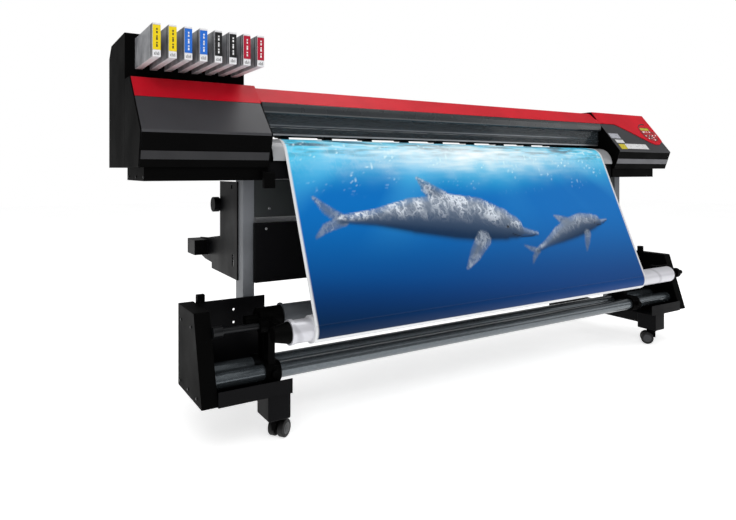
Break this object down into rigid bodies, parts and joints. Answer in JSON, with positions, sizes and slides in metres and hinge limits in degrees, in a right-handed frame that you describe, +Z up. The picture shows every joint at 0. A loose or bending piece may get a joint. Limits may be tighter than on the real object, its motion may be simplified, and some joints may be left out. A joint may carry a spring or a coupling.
{
  "type": "wide-format roll printer cutter",
  "caption": "Wide-format roll printer and cutter on a castered stand, with ink cartridges, sloping covers, a media sheet, a take-up roll in front and a media holder behind.",
  "frame": {"origin": "on the floor, under the middle of the whole machine", "axes": "+X along the machine to the operator's right, -Y towards the operator, +Z up"},
  "size_m": [2.575, 0.7949, 1.27],
  "materials": {
    "red_cover": "moulded, semi-gloss crimson",
    "charcoal_cover": "moulded, fine grain, satin",
    "black_cover": "moulded, fine grain",
    "grip_plastic": "moulded, satin grey",
    "window_clear": "clear acrylic, polished",
    "black_metal": "black powder coat",
    "grey_metal": "dark grey powder coat",
    "pale_metal": "light grey enamel",
    "rail_aluminium": "extruded, satin anodised",
    "steel": "ground shaft",
    "pipe_metal": "dark gloss lacquer on steel tube",
    "paper_core": "spiral wound paper tube",
    "film": "vinyl film, white, printed",
    "rubber": "moulded, matte",
    "tank_plastic": "moulded cartridge case",
    "key_plastic": "moulded keys",
    "display_glass": "liquid crystal display",
    "carriage_plastic": "moulded carriage case"
  },
  "bodies": {
    "machine": {"left_cover": "charcoal_cover", "left_top_trim": "red_cover", "right_cover": "charcoal_cover", "end_panels": "black_cover", "inner_walls": "black_cover", "lower_boxes": "black_cover", "top_cover": "red_cover", "rear_cover": "black_cover", "chassis": "black_metal", "platen": "rail_aluminium", "media_aprons": "pale_metal", "media_film": "film", "carriage_rail": "rail_aluminium", "ink_housing": "black_cover", "feet": "black_metal", "columns": "rail_aluminium", "cross_panel": "black_metal", "cross_beam": "grey_metal", "takeup_cases": "black_cover", "takeup_brackets": "black_metal", "cross_pipes": "pipe_metal", "takeup_arms": "black_metal", "media_holder": "black_metal", "control_cover": "red_cover", "control_display": "display_glass", "power_inlet": "black_cover"},
    "front_cover": {"cover_grip": "grip_plastic", "cover_window": "window_clear"},
    "print_carriage": {"print_carriage": "carriage_plastic"},
    "cutting_carriage": {"cutting_carriage": "carriage_plastic"},
    "blade": {"blade_holder": "steel"},
    "feed_shaft": {"feed_shaft": "steel"},
    "pinch_unit": {"pinch_rollers": "rubber"},
    "loading_lever": {"loading_lever": "black_cover"},
    "drive_shaft": {"drive_shaft": "steel"},
    "guide_tube": {"guide_tube": "pipe_metal"},
    "takeup_roll": {"takeup_core": "paper_core", "wound_film": "film"},
    "core_holder": {"core_holder": "black_cover"},
    "supply_roll": {"supply_roll": "film"},
    "key_function": {"key_function": "key_plastic"},
    "key_menu": {"key_menu": "key_plastic"},
    "key_cursor": {"key_cursor": "key_plastic"},
    "key_pause": {"key_pause": "key_plastic"},
    "cartridge_1": {"ink_cartridge_1": "tank_plastic"},
    "cartridge_2": {"ink_cartridge_2": "tank_plastic"},
    "cartridge_3": {"ink_cartridge_3": "tank_plastic"},
    "cartridge_4": {"ink_cartridge_4": "tank_plastic"},
    "cartridge_5": {"ink_cartridge_5": "tank_plastic"},
    "cartridge_6": {"ink_cartridge_6": "tank_plastic"},
    "cartridge_7": {"ink_cartridge_7": "tank_plastic"},
    "cartridge_8": {"ink_cartridge_8": "tank_plastic"},
    "caster_front_left": {"caster_body_front_left": "black_cover"},
    "wheels_front_left": {"caster_wheels_front_left": "rubber"},
    "caster_front_right": {"caster_body_front_right": "black_cover"},
    "wheels_front_right": {"caster_wheels_front_right": "rubber"},
    "caster_rear_left": {"caster_body_rear_left": "black_cover"},
    "wheels_rear_left": {"caster_wheels_rear_left": "rubber"},
    "caster_rear_right": {"caster_body_rear_right": "black_cover"},
    "wheels_rear_right": {"caster_wheels_rear_right": "rubber"}
  },
  "joints": [
    {"name": "cover_hinge", "type": "hinge", "parent": "machine", "child": "front_cover", "pos_m": [0, -0.106, 1.0595], "axis": [-1, 0, 0], "range_deg": [0, 95]},
    {"name": "print_carriage_slide", "type": "slide", "parent": "machine", "child": "print_carriage", "axis": [1, 0, 0], "range_m": [-1.93, 0]},
    {"name": "cutting_carriage_slide", "type": "slide", "parent": "machine", "child": "cutting_carriage", "axis": [1, 0, 0], "range_m": [0, 1.9]},
    {"name": "blade_slide", "type": "slide", "parent": "cutting_carriage", "child": "blade", "axis": [0, 0, -1], "range_m": [0, 0.004], "stiffness_N_per_m": 1500, "springref_m": -0.002},
    {"name": "feed_spin", "type": "hinge", "parent": "machine", "child": "feed_shaft", "pos_m": [0, 0.036, 0.9247], "axis": [1, 0, 0], "continuous": true},
    {"name": "pinch_lift", "type": "hinge", "parent": "machine", "child": "pinch_unit", "pos_m": [0, 0.092, 0.962], "axis": [-1, 0, 0], "range_deg": [0, 12]},
    {"name": "lever_turn", "type": "hinge", "parent": "machine", "child": "loading_lever", "pos_m": [-0.889, -0.186, 0.818], "axis": [-1, 0, 0], "range_deg": [0, 45]},
    {"name": "drive_spin", "type": "hinge", "parent": "machine", "child": "drive_shaft", "pos_m": [-1, -0.249, 0.353], "axis": [1, 0, 0], "continuous": true},
    {"name": "guide_spin", "type": "hinge", "parent": "machine", "child": "guide_tube", "pos_m": [0, -0.186, 0.36], "axis": [1, 0, 0], "continuous": true},
    {"name": "takeup_spin", "type": "hinge", "parent": "machine", "child": "takeup_roll", "pos_m": [0, -0.355, 0.35], "axis": [1, 0, 0], "continuous": true},
    {"name": "holder_slide", "type": "slide", "parent": "machine", "child": "core_holder", "axis": [1, 0, 0], "range_m": [0, 0.029]},
    {"name": "supply_spin", "type": "hinge", "parent": "machine", "child": "supply_roll", "pos_m": [0, 0.33, 0.54], "axis": [1, 0, 0], "continuous": true},
    {"name": "key_function_press", "type": "slide", "parent": "machine", "child": "key_function", "axis": [0, 0.7669, -0.6417], "range_m": [0, 0.0015], "stiffness_N_per_m": 400, "springref_m": -0.0005},
    {"name": "key_menu_press", "type": "slide", "parent": "machine", "child": "key_menu", "axis": [0, 0.7669, -0.6417], "range_m": [0, 0.0015], "stiffness_N_per_m": 400, "springref_m": -0.0005},
    {"name": "key_cursor_press", "type": "slide", "parent": "machine", "child": "key_cursor", "axis": [0, 0.7669, -0.6417], "range_m": [0, 0.0015], "stiffness_N_per_m": 400, "springref_m": -0.0005},
    {"name": "key_pause_press", "type": "slide", "parent": "machine", "child": "key_pause", "axis": [0, 0.7669, -0.6417], "range_m": [0, 0.0015], "stiffness_N_per_m": 400, "springref_m": -0.0005},
    {"name": "cartridge_1_slide", "type": "slide", "parent": "machine", "child": "cartridge_1", "axis": [0, -1, 0], "range_m": [0, 0.06]},
    {"name": "cartridge_2_slide", "type": "slide", "parent": "machine", "child": "cartridge_2", "axis": [0, -1, 0], "range_m": [0, 0.06]},
    {"name": "cartridge_3_slide", "type": "slide", "parent": "machine", "child": "cartridge_3", "axis": [0, -1, 0], "range_m": [0, 0.06]},
    {"name": "cartridge_4_slide", "type": "slide", "parent": "machine", "child": "cartridge_4", "axis": [0, -1, 0], "range_m": [0, 0.06]},
    {"name": "cartridge_5_slide", "type": "slide", "parent": "machine", "child": "cartridge_5", "axis": [0, -1, 0], "range_m": [0, 0.06]},
    {"name": "cartridge_6_slide", "type": "slide", "parent": "machine", "child": "cartridge_6", "axis": [0, -1, 0], "range_m": [0, 0.06]},
    {"name": "cartridge_7_slide", "type": "slide", "parent": "machine", "child": "cartridge_7", "axis": [0, -1, 0], "range_m": [0, 0.06]},
    {"name": "cartridge_8_slide", "type": "slide", "parent": "machine", "child": "cartridge_8", "axis": [0, -1, 0], "range_m": [0, 0.06]},
    {"name": "swivel_front_left", "type": "hinge", "parent": "machine", "child": "caster_front_left", "pos_m": [-0.9, -0.262, 0.05], "axis": [0, 0, 1], "continuous": true},
    {"name": "roll_front_left", "type": "hinge", "parent": "caster_front_left", "child": "wheels_front_left", "pos_m": [-0.87897, -0.24672, 0.028], "axis": [0.5878, -0.809, 0], "continuous": true},
    {"name": "swivel_front_right", "type": "hinge", "parent": "machine", "child": "caster_front_right", "pos_m": [1.055, -0.262, 0.05], "axis": [0, 0, 1], "continuous": true},
    {"name": "roll_front_right", "type": "hinge", "parent": "caster_front_right", "child": "wheels_front_right", "pos_m": [1.03829, -0.24208, 0.028], "axis": [0.766, 0.6428, 0], "continuous": true},
    {"name": "swivel_rear_left", "type": "hinge", "parent": "machine", "child": "caster_rear_left", "pos_m": [-0.9, 0.302, 0.05], "axis": [0, 0, 1], "continuous": true},
    {"name": "roll_rear_left", "type": "hinge", "parent": "caster_rear_left", "child": "wheels_rear_left", "pos_m": [-0.88901, 0.32556, 0.028], "axis": [0.9063, -0.4226, 0], "continuous": true},
    {"name": "swivel_rear_right", "type": "hinge", "parent": "machine", "child": "caster_rear_right", "pos_m": [1.055, 0.302, 0.05], "axis": [0, 0, 1], "continuous": true},
    {"name": "roll_rear_right", "type": "hinge", "parent": "caster_rear_right", "child": "wheels_rear_right", "pos_m": [1.03204, 0.31421, 0.028], "axis": [0.4695, 0.8829, 0], "continuous": true}
  ],
  "couplings": [
    {"joint": "lever_turn", "follows": "pinch_lift", "ratio": 3.75},
    {"joint": "drive_spin", "follows": "takeup_spin", "ratio": 1}
  ]
}
